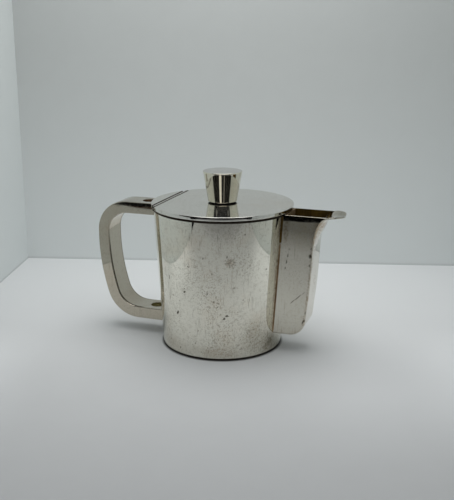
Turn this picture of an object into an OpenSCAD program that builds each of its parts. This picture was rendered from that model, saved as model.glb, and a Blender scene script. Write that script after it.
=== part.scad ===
// Small straight-sided metal teapot with a hinged flush lid. Millimetres, +Z up, +X towards the spout.
// The origin is the middle of the underside, on the table.

/* [Body] */
// Outside radius at the table
foot_r = 37.8; // [30:0.1:45]
// Outside radius at the rim
rim_r = 43; // [35:0.1:50]
// Height of the rim above the table
rim_z = 87.4; // [60:0.1:120]
// Wall thickness
wall_t = 1; // [0.6:0.1:1.5]
// Thickness of the base plate
base_t = 1.2; // [0.8:0.1:2]
// Height of the stiffening ring inside the mouth
ring_h = 5.4; // [3:0.1:10]
// Bore radius of the stiffening ring
ring_in_r = 41; // [35:0.1:48]

/* [Lid] */
// Outside radius of the lid and of the fixed deck
lid_r = 44.2; // [36:0.1:52]
// Height of the lid's top face
lid_z = 90.0; // [62:0.1:125]
// Gap between the rim and the lid
lid_gap = 0.1; // [0.05:0.05:0.3]
// Thickness of the lid's middle
lid_t = 0.9; // [0.6:0.1:1.5]
// Outside radius of the ring under the lid
bezel_r = 40.6; // [34:0.1:47]
// Height of the ring under the lid
bezel_h = 6.2; // [3:0.1:10]
// Thickness of the ring under the lid
bezel_t = 0.8; // [0.5:0.1:1.5]

/* [Hinge] */
// Distance of the hinge line behind the middle
hinge_x = 35.04; // [25:0.02:40]
// Radius of the knuckles
knuckle_r = 1.5; // [1:0.05:2.5]
// Distance from the hinge line to the lid's and the deck's edges
edge_gap = 1.6; // [1.1:0.05:3]
// Radius of the hinge pin
pin_r = 0.6; // [0.4:0.05:1]
// Running clearance of the pin in the lid's knuckles
pin_play = 0.05; // [0.02:0.01:0.1]

/* [Knob] */
// Radius at the foot
knob_foot_r = 9.05; // [6:0.05:14]
// Radius at the top
knob_top_r = 12.15; // [8:0.05:16]
// Height of the knob's top above the table
knob_z = 109.5; // [95:0.1:130]
// Height of the neck under the knob
neck_h = 0.85; // [0.5:0.05:3]
// Radius of the screw
screw_r = 1.5; // [1:0.1:3]

/* [Spout] */
// Width over both sides
spout_w = 21.8; // [16:0.1:28]
// Thickness of the sides and the front strip
spout_t = 1; // [0.6:0.1:1.5]
// Height of the spout's top edge
spout_z = 87.2; // [60:0.1:120]
// Height of the spout's underside
spout_foot_z = 12; // [8:0.1:20]
// How far the lip reaches from the middle
lip_x = 77; // [70:0.1:85]
// Diameter of the strainer's holes
sieve_d = 2.4; // [1:0.1:3]

/* [Handle] */
// Width of the bar
handle_w = 17.5; // [12:0.1:25]
// Thickness of the bar
handle_bar = 7.4; // [5:0.1:12]
// Thickness of the bar's sheet
handle_t = 0.9; // [0.6:0.1:1.5]
// Height of the top arm's upper face
handle_z = 87.2; // [60:0.1:120]
// Height of the bottom arm's underside
handle_foot_z = 9.8; // [5:0.1:20]
// How far the grip reaches behind the middle
handle_x = 82.5; // [70:0.1:95]
// Radius of the upper bend
bend_top_r = 20; // [14:0.5:28]
// Radius of the grip's long curve
grip_r = 130; // [80:5:300]
// Radius of the lower bend
bend_foot_r = 22; // [14:0.5:28]
// Diameter of the vent holes
vent_d = 9.0; // [3:0.1:12]

/* [Hidden] */
$fn = 96;
eps = 0.01;
silver = [0.78, 0.77, 0.74];
slope = (rim_r - foot_r) / rim_z;
hinge_z = lid_z - knuckle_r;
lid_foot_z = rim_z + lid_gap;
lid_under_z = lid_z - lid_t;
pocket_r = bezel_r - 0.1;
pocket_x = -30;
washer_t = 0.8;
knuckle_a = 5.4;
knuckle_b = 16;
sieve_x = foot_r + 0.5;
sieve_t = 0.8;
side_in = spout_w / 2 - spout_t;
grip_z = handle_z - bend_top_r - 3.2;
grip_a = asin((grip_z - handle_foot_z - bend_foot_r) / (grip_r - bend_foot_r));

// Points of an arc, n steps
function arc(cx, cy, r, a0, a1, n) =
    [for (i = [0 : n]) let (a = a0 + (a1 - a0) * i / n) [cx + r * cos(a), cy + r * sin(a)]];

function flip(p) = [for (i = [len(p) - 1 : -1 : 0]) p[i]];

// The handle bar's centre lines: a path a distance d inside the bar's outer face, as x and z
function bar_path(d) = concat(
    [[-34, handle_z - d]],
    arc(bend_top_r - handle_x, handle_z - bend_top_r, bend_top_r - d, 90, 180, 12),
    arc(grip_r - handle_x, grip_z, grip_r - d, 180, 180 + grip_a, 7),
    arc(grip_r - handle_x - (grip_r - bend_foot_r) * cos(grip_a), handle_foot_z + bend_foot_r,
        bend_foot_r - d, 180 + grip_a + 7, 270, 10),
    [[-34, handle_foot_z + d]]
);

// The front strip's outer face, from the body round the lower corner, up the nose and along the lip
corner_r = 10;
nose_pts = [
    [57.85, 29], [58.62, 35.6], [59.25, 42.2], [59.7, 48.8], [60, 55.3], [60.25, 61.8],
    [60.6, 68], [61.2, 73.5], [62.2, 78.2], [63.6, 81.8], [65.3, 84.2], [67.4, 85.8],
    [70, 86.6], [73, 86.8], [lip_x + 1, 86.8]
];
front_pts = concat([[36, spout_foot_z]],
    arc(47.1, spout_foot_z + corner_r, corner_r, -90, -6.5, 9), nose_pts);

function unit(v) = v / norm(v);
function left_of(v) = [-v[1], v[0]];
function tangent(p, i) = unit(p[min(i + 1, len(p) - 1)] - p[max(i - 1, 0)]);
// The same path moved d to its left
function moved(p, d) = [for (i = [0 : len(p) - 1]) p[i] + d * left_of(tangent(p, i))];
back_pts = moved(front_pts, spout_t);

// Everything inside the body's outer face
module body_solid() {
    rotate_extrude()
        polygon([[0, -eps], [foot_r - slope * eps, -eps], [rim_r + slope * 5, rim_z + 5], [0, rim_z + 5]]);
}

// A flat shape given in x and z, spread from y0 to y1
module slab(y0, y1) {
    translate([0, y1, 0])
        rotate([90, 0, 0])
            linear_extrude(height = y1 - y0)
                children();
}

module hinge_rod(r, y0, y1) {
    translate([-hinge_x, y0, hinge_z])
        rotate([-90, 0, 0])
            cylinder(h = y1 - y0, r = r);
}

// Room for the hinge in the rim below it
module hinge_recess() {
    translate([-hinge_x - edge_gap + eps, -60, hinge_z - knuckle_r - 0.1])
        cube([2 * edge_gap - eps, 120, 10]);
}

module body_wall() {
    color(silver)
        difference() {
            rotate_extrude()
                polygon([[foot_r - wall_t, 0], [foot_r, 0], [rim_r, rim_z], [rim_r - wall_t, rim_z]]);
            translate([30, -8, 20])
                cube([20, 16, 58]);
            hinge_recess();
        }
}

module base_plate() {
    color(silver)
        rotate_extrude()
            polygon([[0, 0], [foot_r - wall_t, 0], [foot_r - wall_t + slope * base_t, base_t], [0, base_t]]);
}

module mouth_ring() {
    in_r = rim_r - wall_t;
    color(silver)
        difference() {
            rotate_extrude()
                polygon([[ring_in_r, rim_z - ring_h], [in_r - slope * ring_h, rim_z - ring_h],
                    [in_r, rim_z], [ring_in_r, rim_z]]);
            hinge_recess();
        }
}

// Rim section shared by the lid and the deck
module rim_disc(z0) {
    rotate_extrude()
        polygon([[0, z0], [lid_r - 0.15, z0], [lid_r, z0 + 0.15], [lid_r, lid_z - 0.9],
            [lid_r - 0.15, lid_z - 0.4], [lid_r - 0.45, lid_z - 0.12], [lid_r - 0.95, lid_z], [0, lid_z]]);
}

module hinge_deck() {
    color(silver)
        intersection() {
            rim_disc(rim_z);
            translate([-60, -60, 0])
                cube([60 - hinge_x - edge_gap, 120, 200]);
        }
}

// One knuckle with a web to the plate on its side, +1 for the lid and -1 for the deck
module knuckle(y0, y1, side) {
    hinge_rod(knuckle_r, y0, y1);
    translate([side > 0 ? -hinge_x + 0.8 : -hinge_x - edge_gap, y0, hinge_z - 0.5])
        cube([edge_gap - 0.8, y1 - y0, 1]);
}

module deck_knuckles() {
    color(silver)
        difference() {
            intersection() {
                union() {
                    knuckle(-40, -knuckle_b, -1);
                    knuckle(-knuckle_a, knuckle_a, -1);
                    knuckle(knuckle_b, 40, -1);
                }
                cylinder(h = 200, r = lid_r);
            }
            hinge_rod(pin_r, -50, 50);
        }
}

module lid_knuckles() {
    gap = 0.1;
    color(silver)
        difference() {
            union() {
                knuckle(-knuckle_b + gap, -knuckle_a - gap, 1);
                knuckle(knuckle_a + gap, knuckle_b - gap, 1);
            }
            hinge_rod(pin_r + pin_play, -50, 50);
        }
}

module hinge_pin() {
    color(silver)
        intersection() {
            hinge_rod(pin_r, -40, 40);
            cylinder(h = 200, r = lid_r);
        }
}

module lid_plate() {
    edge_x = -hinge_x + edge_gap;
    color(silver)
        difference() {
            rim_disc(lid_foot_z);
            slab(-60, 60)
                polygon([[-60, 0], [edge_x, 0], [edge_x, lid_z - 0.6], [edge_x + 0.6, lid_z],
                    [edge_x + 0.6, 200], [-60, 200]]);
            intersection() {
                translate([0, 0, 80])
                    cylinder(h = lid_under_z - 80, r = bezel_r);
                translate([pocket_x, -60, 0])
                    cube([120, 120, 200]);
            }
            cylinder(h = 200, r = screw_r);
        }
}

module lid_bezel() {
    color(silver)
        intersection() {
            difference() {
                translate([0, 0, lid_under_z - bezel_h])
                    cylinder(h = bezel_h, r = bezel_r);
                cylinder(h = 200, r = bezel_r - bezel_t);
            }
            translate([pocket_x, -60, 0])
                cube([120, 120, 200]);
        }
}

module knob() {
    foot_z = lid_z + neck_h;
    color(silver)
        difference() {
            rotate_extrude()
                polygon([[0, lid_z], [7.6, lid_z], [7.6, foot_z], [knob_foot_r - 0.3, foot_z],
                    [knob_foot_r, foot_z + 0.3], [knob_top_r, knob_z - 1], [knob_top_r - 0.12, knob_z - 0.5],
                    [knob_top_r - 0.45, knob_z - 0.15], [knob_top_r - 1, knob_z], [0, knob_z]]);
            cylinder(h = lid_z + 9, r = screw_r);
        }
}

module knob_washer() {
    color(silver)
        difference() {
            translate([0, 0, lid_under_z - washer_t])
                cylinder(h = washer_t, r = 6);
            cylinder(h = 200, r = screw_r);
        }
}

module knob_screw() {
    head_h = 1.6;
    head_z = lid_under_z - washer_t - head_h;
    color(silver)
        difference() {
            union() {
                translate([0, 0, head_z])
                    cylinder(h = lid_z + 9 - head_z, r = screw_r);
                translate([0, 0, head_z])
                    cylinder(h = head_h, r = 3.4);
            }
            translate([-5, -0.4, head_z - 1])
                cube([10, 0.8, 1.7]);
        }
}

// One side of the spout, cut to sit on the body
module spout_side(y0, y1) {
    n = len(back_pts);
    edge = [for (p = back_pts) if (p[1] < spout_z) p];
    last = edge[len(edge) - 1];
    next = back_pts[len(edge)];
    top_x = last[0] + (next[0] - last[0]) * (spout_z - last[1]) / (next[1] - last[1]);
    difference() {
        slab(y0, y1)
            polygon(concat(edge, [[top_x, spout_z], [36, spout_z]]));
        body_solid();
    }
}

module spout_side_left() {
    color(silver)
        spout_side(side_in, spout_w / 2);
}

module spout_side_right() {
    color(silver)
        spout_side(-spout_w / 2, -side_in);
}

module spout_front() {
    tip_r = 8;
    tip_y = spout_w / 2 - tip_r;
    color(silver)
        difference() {
            intersection() {
                slab(-spout_w / 2, spout_w / 2)
                    polygon(concat(front_pts, flip(back_pts)));
                union() {
                    translate([30, -20, 0])
                        cube([lip_x - tip_r - 30, 40, 200]);
                    translate([40, -tip_y, 0])
                        cube([lip_x - 40, 2 * tip_y, 200]);
                    for (s = [-1, 1])
                        translate([lip_x - tip_r, s * tip_y, 0])
                            cylinder(h = 200, r = tip_r);
                }
            }
            body_solid();
        }
}

module strainer_plate() {
    z0 = spout_foot_z + spout_t;
    color([0.62, 0.6, 0.55])
        difference() {
            slab(-side_in, side_in)
                polygon([[sieve_x + slope * z0, z0], [sieve_x + sieve_t + slope * z0, z0],
                    [sieve_x + sieve_t + slope * spout_z, spout_z], [sieve_x + slope * spout_z, spout_z]]);
            for (j = [0 : 8])
                for (i = [0 : 3])
                    translate([30, -5.4 + 3.6 * i, 23 + 6.3 * j])
                        rotate([0, 90, 0])
                            cylinder(h = 30, d = sieve_d, $fn = 24);
        }
}

// Part of the handle bar between two depths inside its outer face
module bar(d0, d1, y0, y1) {
    difference() {
        slab(y0, y1)
            polygon(concat(bar_path(d0), flip(bar_path(d1))));
        body_solid();
    }
}

module handle_cheek_left() {
    color(silver)
        bar(0, handle_bar, handle_w / 2 - handle_t, handle_w / 2);
}

module handle_cheek_right() {
    color(silver)
        bar(0, handle_bar, -handle_w / 2, -handle_w / 2 + handle_t);
}

module handle_outer_strip() {
    in = handle_w / 2 - handle_t;
    color(silver)
        difference() {
            bar(0, handle_t, -in, in);
            translate([-49.5, 0, handle_z - 3])
                cylinder(h = 10, d = vent_d);
        }
}

module handle_inner_strip() {
    in = handle_w / 2 - handle_t;
    color(silver)
        difference() {
            bar(handle_bar - handle_t, handle_bar, -in, in);
            translate([-45.2, 0, handle_foot_z + 3])
                cylinder(h = 10, d = vent_d);
        }
}

body_wall();
base_plate();
mouth_ring();
hinge_deck();
deck_knuckles();
hinge_pin();
spout_side_left();
spout_side_right();
spout_front();
strainer_plate();
handle_cheek_left();
handle_cheek_right();
handle_outer_strip();
handle_inner_strip();
lid_plate();
lid_bezel();
lid_knuckles();
knob();
knob_screw();
knob_washer();
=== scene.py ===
import bpy
import bmesh
from math import acos, asin, copysign, cos, degrees, hypot, pi, radians, sin, sqrt, tan
from mathutils import Euler, Matrix, Vector


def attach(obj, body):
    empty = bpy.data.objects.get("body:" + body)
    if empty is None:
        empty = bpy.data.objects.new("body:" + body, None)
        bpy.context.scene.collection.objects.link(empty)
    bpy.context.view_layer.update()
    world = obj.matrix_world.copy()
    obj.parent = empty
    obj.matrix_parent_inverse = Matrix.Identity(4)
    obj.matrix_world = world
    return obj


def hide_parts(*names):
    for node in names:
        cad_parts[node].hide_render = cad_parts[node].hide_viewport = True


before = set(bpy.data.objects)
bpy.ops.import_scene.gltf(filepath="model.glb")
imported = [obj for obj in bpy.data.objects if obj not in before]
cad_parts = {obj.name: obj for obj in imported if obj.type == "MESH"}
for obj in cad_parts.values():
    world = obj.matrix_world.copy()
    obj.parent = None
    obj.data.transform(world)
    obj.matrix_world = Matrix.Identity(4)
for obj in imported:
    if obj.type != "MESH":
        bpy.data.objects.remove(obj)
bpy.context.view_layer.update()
MM = 0.001

# ---- sizes, in millimetres, as in the CAD
FOOT_R, RIM_R, RIM_Z, WALL, BASE_T = 37.8, 43, 87.4, 1, 1.2
SLOPE = (RIM_R - FOOT_R) / RIM_Z
WINDOW_LOW, WINDOW_MID, WINDOW_TOP = 20, 49, 78.0  # the opening from the body into the spout
LID_R, LID_Z, LID_GAP, LID_T = 44.2, 90, 0.1, 0.9
HINGE_X, KNUCKLE_R, EDGE = 35.04, 1.5, 1.6
HINGE_Z = LID_Z - KNUCKLE_R
SPOUT_W, SPOUT_T, SPOUT_Z, SPOUT_FOOT, LIP_X, LIP_R = 21.8, 1, 87.2, 12, 77, 8.0
BAR_W, BAR, BAR_T, BAR_Z, BAR_FOOT, BAR_X = 17.5, 7.4, 0.9, 87.2, 9.8, 82.5
BEND_TOP, GRIP_R, BEND_FOOT = 20, 130, 22.0
HALF_BAR = BAR_W / 2
HALF_GAP = HALF_BAR - BAR_T  # half the hollow's width in the handle
SINK = 0.5  # how deep the spout and the handle reach into the body's wall
TURN = radians(-19.538)  # the pot is turned this far in the light box
SIDES = ((-1, "right"), (1, "left"))


def cone_r(z):
    return FOOT_R + SLOPE * z


def wall_x(y, z, sink=0):
    """How far out the body's outside is at y and z, less sink."""
    return sqrt((cone_r(z) - sink) ** 2 - y * y)


def room(x, y, z=0):
    """A point of the light box, in millimetres, in the pot's frame, in metres."""
    c, s = cos(TURN), sin(TURN)
    return Vector(((x * c + y * s) * MM, (-x * s + y * c) * MM, z * MM))


def smooth01(t):
    t = max(0.0, min(1.0, t))
    return t * t * (3 - 2 * t)


# ---- shape helpers
def bend(cx, cy, r, angles):
    """Points on a circle round (cx, cy), at angles in degrees."""
    turns = [radians(a) for a in angles]
    return [(cx + r * cos(a), cy + r * sin(a)) for a in turns]


def arc(cx, cy, r, start, end, n):
    return bend(cx, cy, r, [start + (end - start) * i / n for i in range(n + 1)])


def circle(r, z, n):
    turns = [2 * pi * i / n for i in range(n)]
    return [(r * cos(a), r * sin(a), z) for a in turns]


def bands(rings, m, closed=False):
    """Quads between neighbouring rings of m points."""
    faces = []
    for s in range(rings if closed else rings - 1):
        here, there = s * m, (s + 1) % rings * m
        for j in range(m):
            k = (j + 1) % m
            faces.append([here + j, here + k, there + k, there + j])
    return faces


def caps(rings, m):
    """The two end faces of a row of rings."""
    return [list(range(m)), [(rings - 1) * m + j for j in range(m)][::-1]]


def add(name, data):
    ob = bpy.data.objects.new(name, data)
    bpy.context.scene.collection.objects.link(ob)
    return ob


def to_mesh(name, verts, faces, mats, angle=35, slots=None):
    """A smooth object from millimetres. slots is each face's material, edges over angle stay sharp."""
    me = bpy.data.meshes.new(name)
    me.from_pydata([tuple(c * MM for c in v) for v in verts], [], faces)
    me.validate()
    for mat in mats:
        me.materials.append(mat)
    if slots:
        for p, slot in zip(me.polygons, slots):
            p.material_index = slot
    bm = bmesh.new()
    bm.from_mesh(me)
    bmesh.ops.remove_doubles(bm, verts=bm.verts, dist=1e-7)
    bmesh.ops.recalc_face_normals(bm, faces=bm.faces)
    bm.to_mesh(me)
    bm.free()
    for p in me.polygons:
        p.use_smooth = True
    me.set_sharp_from_angle(angle=radians(angle))
    return add(name, me)


def lathe(name, profile, mats, n=256, angle=35):
    """Turns a closed profile of (r, z) round Z."""
    verts, faces, rings = [], [], []
    for r, z in profile:
        if r < 1e-9:
            rings.append([len(verts)] * n)
            verts.append((0, 0, z))
        else:
            rings.append(list(range(len(verts), len(verts) + n)))
            verts += circle(r, z, n)
    for a, b in zip(rings, rings[1:] + rings[:1]):
        for i in range(n):
            k = (i + 1) % n
            corners = [a[i], a[k], b[k], b[i]]
            face = [v for q, v in enumerate(corners) if v not in corners[:q]]
            if len(face) > 2:
                faces.append(face)
    return to_mesh(name, verts, faces, mats, angle=angle)


def between(name, low, high, mats):
    """A solid between two outlines with as many points each."""
    m = len(low)
    return to_mesh(name, low + high, caps(2, m) + bands(2, m), mats)


def joined(name, parts, mats):
    verts, faces = [], []
    for v, f in parts:
        off = len(verts)
        verts += v
        faces += [[i + off for i in q] for q in f]
    return to_mesh(name, verts, faces, mats)


def block(x0, x1, y0, y1, z0, z1):
    v = [(x, y, z) for x in (x0, x1) for y in (y0, y1) for z in (z0, z1)]
    f = [[0, 1, 3, 2], [4, 6, 7, 5], [0, 4, 5, 1], [2, 3, 7, 6], [0, 2, 6, 4], [1, 5, 7, 3]]
    return v, f


def shift(ob, x, z=0):
    ob.data.transform(Matrix.Translation(Vector((x, 0, z)) * MM))


def paint(ob, pick):
    """Sets each face's material slot to what pick says of its centre in millimetres and its normal."""
    for p in ob.data.polygons:
        slot = pick(p.center / MM, p.normal)
        if slot is not None:
            p.material_index = slot


def cut_away(ob, cutter):
    """Takes cutter away from ob."""
    mod = ob.modifiers.new("cut", "BOOLEAN")
    mod.object = cutter
    mod.operation = "DIFFERENCE"
    mod.solver = "EXACT"
    me = bpy.data.meshes.new_from_object(ob.evaluated_get(bpy.context.evaluated_depsgraph_get()))
    ob.modifiers.clear()
    ob.data = me
    bpy.data.objects.remove(cutter)
    for p in me.polygons:
        p.use_smooth = True


def place(ob, *nodes, body="pot", slot="plate_outside"):
    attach(ob, body)
    if nodes:
        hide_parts(*nodes)


# ---- materials
class Nodes:
    """A material and short ways to add nodes to it."""

    def __init__(self, name):
        self.mat = bpy.data.materials.new(name)
        self.mat.use_nodes = True
        self.t = self.mat.node_tree
        self.t.nodes.clear()
        self.out = self.new("OutputMaterial")
        self.bsdf = self.new("BsdfPrincipled")
        self.link(self.bsdf.outputs[0], self.out.inputs[0])
        self.co = self.new("TexCoord").outputs["Object"]

    def new(self, kind):
        return self.t.nodes.new("ShaderNode" + kind)

    def link(self, a, b):
        self.t.links.new(a, b)

    def put(self, socket, value):
        if isinstance(value, bpy.types.NodeSocket):
            self.link(value, socket)
        else:
            socket.default_value = value

    def fill(self, node, values):
        for key, value in values.items():
            self.put(node.inputs[key], value)
        return node

    def mapped(self, scale, rot=(0, 0, 0), loc=(0, 0, 0)):
        n = self.new("Mapping")
        self.fill(n, {"Vector": self.co, "Location": loc, "Rotation": rot, "Scale": scale})
        return n.outputs[0]

    def noise(self, scale, detail=3, rough=0.55, vec=None):
        n = self.new("TexNoise")
        self.fill(n, {"Vector": vec or self.co, "Scale": scale, "Detail": detail, "Roughness": rough})
        return n.outputs["Fac"]

    def voronoi(self, scale):
        n = self.new("TexVoronoi")
        return self.fill(n, {"Vector": self.co, "Scale": scale}).outputs["Distance"]

    def ramp(self, fac, lo, hi, a=0, b=1, smooth=True):
        n = self.new("MapRange")
        n.interpolation_type = "SMOOTHSTEP" if smooth else "LINEAR"
        n.clamp = True
        self.fill(n, {"Value": fac, "From Min": lo, "From Max": hi, "To Min": a, "To Max": b})
        return n.outputs["Result"]

    def math(self, op, a, b=0, clamp=False):
        n = self.new("Math")
        n.operation = op
        n.use_clamp = clamp
        return self.fill(n, {0: a, 1: b}).outputs[0]

    def times(self, a, b, clamp=False):
        return self.math("MULTIPLY", a, b, clamp)

    def most(self, a, b):
        return self.math("MAXIMUM", a, b)

    def mix(self, fac, a, b):
        n = self.new("Mix")
        n.data_type = "RGBA"
        self.put(n.inputs[0], fac)
        for socket, value in ((n.inputs[6], a), (n.inputs[7], b)):
            self.put(socket, value if isinstance(value, bpy.types.NodeSocket) else (*value, 1))
        return n.outputs[2]

    def bump(self, height, strength, distance, normal=None):
        n = self.new("Bump")
        self.fill(n, {"Strength": strength, "Distance": distance, "Height": height})
        if normal:
            self.link(normal, n.inputs["Normal"])
        return n.outputs[0]

    def attribute(self, name, out="Fac"):
        n = self.new("Attribute")
        n.attribute_name = name
        return n.outputs[out]

    def axes(self):
        n = self.new("SeparateXYZ")
        self.link(self.co, n.inputs[0])
        return n.outputs["X"], n.outputs["Y"], n.outputs["Z"]

    def blend(self, fac, first, second):
        """Shows a mixture of two shader nodes."""
        n = self.new("MixShader")
        self.fill(n, {0: fac, 1: first.outputs[0], 2: second.outputs[0]})
        self.link(n.outputs[0], self.out.inputs[0])


FAINT_TAN = (0.88, 0.77, 0.68)  # what tarnish leaves of the silver's colour
BLOOM, SPECKLE, FILM = (0.38, 0.345, 0.28), (0.4, 0.365, 0.3), (0.48, 0.43, 0.35)
WORN, HAIRLINE, PIT = (0.34, 0.25, 0.17), (0.3, 0.27, 0.22), (0.06, 0.045, 0.03)
HAIR_DIRECTIONS = (
    ((0.06, 0.05, 0.1), (1900, 1900, 30)),
    ((0.9, 0.2, 0.5), (1700, 1700, 55)),
    ((-0.6, 0.4, 1.2), (1600, 1600, 50)),
    ((0.02, -0.05, 2), (2300, 2300, 45)),
)
COARSE_GRAIN = 0.5  # above this, the worn grain is a coarse one


def tarnish_colour(m, base, tan, fine, bloom, dirt, mottle):
    """The silver's colour under tan patches, a fine bloom, specks, a film and the marked stains."""
    col = m.mix(m.times(tan, 0.4 * dirt), base, tuple(a * b for a, b in zip(base, FAINT_TAN)))
    col = m.mix(m.times(bloom, 0.38 * dirt * mottle), col, BLOOM)
    specks = m.ramp(m.noise(520, 4, 0.65), 0.5, 0.7)
    col = m.mix(m.times(specks, 0.2 * dirt * mottle), col, SPECKLE)
    col = m.mix(m.times(m.ramp(fine, 0.5, 0.75), 0.22 * dirt), col, FILM)
    stain = m.times(m.attribute("stain"), m.ramp(fine, 0.2, 0.62, 0.45, 1))
    stain = m.times(stain, m.ramp(m.noise(760, 3, 0.6), 0.4, 0.6, 0.55, 1.2), clamp=True)
    return m.mix(stain, col, m.attribute("stain_colour", "Color"))


def worn_plate(m, col, tiny, grain):
    """The colour where the plate is worn to a grain."""
    coarse = m.noise(1, 3, 0.6, m.mapped((900, 480, 1100))) if grain > COARSE_GRAIN else tiny
    worn = m.times(m.attribute("pitting"), m.ramp(coarse, 0.46, 0.58))
    return m.mix(m.times(worn, grain), col, WORN)


def pitted(m, patchy):
    """Pits gathered in patches: the large ones, and all of them."""
    patch = m.times(m.ramp(m.noise(45, 2), 0.5, 0.66), 0.7 * patchy)
    patch = m.most(patch, m.attribute("pitting"))
    large = m.times(m.ramp(m.voronoi(340), 0.085, 0.15, 1, 0), patch)
    loose = m.times(m.ramp(m.noise(70, 2), 0.5, 0.64), 0.6)
    small = m.times(m.ramp(m.voronoi(800), 0.12, 0.22, 1, 0), m.most(patch, loose))
    return large, m.most(m.times(large, 0.8), m.times(small, 0.55))


def hairlines(m):
    """Fine scratches in several directions, in patches."""
    hair = None
    for i, (rot, scale) in enumerate(HAIR_DIRECTIONS):
        vec = m.mapped(scale, rot, (i * 3.1, i * 1.7, i * 0.9))
        line = m.ramp(m.noise(1, 0, 0.5, vec), 0.76, 0.82)
        hair = line if hair is None else m.most(hair, line)
    return m.times(hair, m.ramp(m.noise(55, 2), 0.4, 0.6, 0.2, 1))


def uneven(m, wave, dents):
    """The normal of a slightly wavy surface with dents in it."""
    normal = m.bump(m.noise(30, 1, 0.4), 1, 0.00005 * wave)
    normal = m.bump(m.noise(170, 2, 0.5), 1, 0.000005 * wave, normal)
    return m.bump(m.math("SUBTRACT", 1, dents), 0.6, 0.00003, normal)


def silver(name, base, rough=0.02, haze=0.02, dirt=1, pits=1, lines=1, wave=1,
           patchy=1, mottle=1, grain=0.15):
    """Polished silver plate: a sharp and a hazy reflection, tarnish, pits and hairlines."""
    m = Nodes(name)
    fine = m.noise(260, 4, 0.6)
    tiny = m.noise(1100, 3, 0.6)
    tan = m.ramp(m.noise(28, 5, 0.6), 0.5, 0.72)
    bloom = m.times(m.ramp(tiny, 0.48, 0.7), m.ramp(m.noise(38, 2), 0.4, 0.62, 0.15, 1))
    col = tarnish_colour(m, base, tan, fine, bloom, dirt, mottle)
    col = worn_plate(m, col, tiny, grain)
    large, spots = pitted(m, patchy)
    col = m.mix(m.times(hairlines(m), 0.62 * lines), col, HAIRLINE)
    col = m.mix(m.most(m.times(spots, 0.9 * pits), m.attribute("nick")), col, PIT)
    shine = m.math("ADD", m.times(m.ramp(fine, 0.3, 0.8), 0.05 * dirt), rough)
    shine = m.math("ADD", shine, m.times(tan, 0.04 * dirt))
    normal = uneven(m, wave, m.most(m.times(large, pits), m.attribute("nick")))
    metal = {"Base Color": col, "Metallic": 1, "Normal": normal}
    m.fill(m.bsdf, {**metal, "Roughness": shine})
    soft = m.fill(m.new("BsdfPrincipled"), {**metal, "Roughness": 0.5})
    m.blend(m.math("ADD", m.times(bloom, 0.1 * dirt), haze, clamp=True), m.bsdf, soft)
    return m.mat


def tarnished(name, base, brown, rough=0.3, metal=1, specular=0.5):
    """Dull metal inside the pot and in the seams, brown with tarnish. dirt() makes matt versions, for the
    hollow's tarnish and for painted shade.
    """
    m = Nodes(name)
    cloud = m.noise(90, 5, 0.65)
    streak = m.noise(1, 3, 0.6, m.mapped((420, 420, 60)))
    col = m.mix(m.ramp(m.times(m.math("ADD", cloud, streak), 0.5), 0.35, 0.65), base, brown)
    specks = m.times(m.ramp(m.noise(700, 3), 0.55, 0.7), 0.5)
    m.fill(m.bsdf, {
        "Base Color": m.mix(specks, col, tuple(c * 0.4 for c in brown)),
        "Metallic": metal,
        "Roughness": m.ramp(cloud, 0.3, 0.7, rough, rough + 0.25),
        "Normal": m.bump(m.noise(900, 3), 0.6, 0.00003),
    })
    m.bsdf.inputs["Specular IOR Level"].default_value = specular
    return m.mat


# matt, non-metal: the handle hollow's tarnish, and the painted shade down the vents, at the knob's neck, in
# the hinge grooves, under the lid's overhang and at the body's foot
def dirt(name, base, brown, rough=0.6):
    return tarnished(name, base, brown, rough, metal=0, specular=0.05)


M_BODY = silver("silver_body", (0.83, 0.81, 0.72), pits=1.3, mottle=1.6)
M_LID = silver("silver_lid", (0.77, 0.76, 0.715), pits=0.5, lines=1.2, mottle=1.2, wave=0.9, rough=0.035,
               haze=0.03)
M_KNOB = silver("silver_knob", (0.785, 0.745, 0.625), dirt=0.4, pits=0.3, lines=0.3, wave=0.15, rough=0.012,
                haze=0.005)
M_KNOB_TOP = silver("silver_knob_top", (0.7, 0.685, 0.67), dirt=1.1, pits=0.6, lines=1.4, wave=0.8,
                    mottle=1.8, rough=0.05)
M_BAR = silver("silver_handle", (0.522, 0.479, 0.395), dirt=0.8, pits=0.2, wave=0.3)
M_SPOUT = silver("silver_spout", (0.67, 0.645, 0.565), dirt=0.8, wave=0.4, rough=0.012, haze=0, patchy=0.1,
                 grain=0.85)
M_INSIDE = tarnished("tarnish_inside", (0.46, 0.37, 0.25), (0.24, 0.16, 0.09))
M_BROWN = tarnished("tarnish_brown", (0.17, 0.102, 0.016), (0.057, 0.033, 0.005), rough=0.42, metal=0.7)
M_HOLLOW = dirt("tarnish_hollow", (0.52, 0.36, 0.2), (0.34, 0.22, 0.11))
M_SEAM = tarnished("tarnish_seam", (0.38, 0.27, 0.16), (0.16, 0.095, 0.04), metal=0.5)
# painted shade down the vent holes: dark brown in the upper one, and a lighter olive in the lower one,
# painted for the light that reaches down it
M_VENT_SHADE = {
    "outer": dirt("vent_shade_brown", (0.055, 0.03, 0.013), (0.022, 0.012, 0.006)),
    "inner": dirt("vent_shade_olive", (0.13, 0.112, 0.042), (0.07, 0.056, 0.02)),
}
# painted shade: near black, for the shade at the knob's neck and underside
M_NECK_SHADE = dirt("painted_shade_black", (0.012, 0.01, 0.008), (0.006, 0.005, 0.004))
# painted shade under the lid's overhang, at the body's foot, in the hinge grooves and under the plates'
# rims; also the handle's dark joint lines
M_SHADE_AND_GRIME = dirt("painted_shade_and_grime", (0.04, 0.032, 0.024), (0.02, 0.015, 0.01), rough=0.55)
M_PIN = tarnished("pin_metal", (0.6, 0.58, 0.54), (0.4, 0.36, 0.3), rough=0.25)


# ---- where the blemishes are
NICK_GROWTH = 1.15  # nicks are made this much larger than they are written
STAIN_MOST = 0.92


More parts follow.
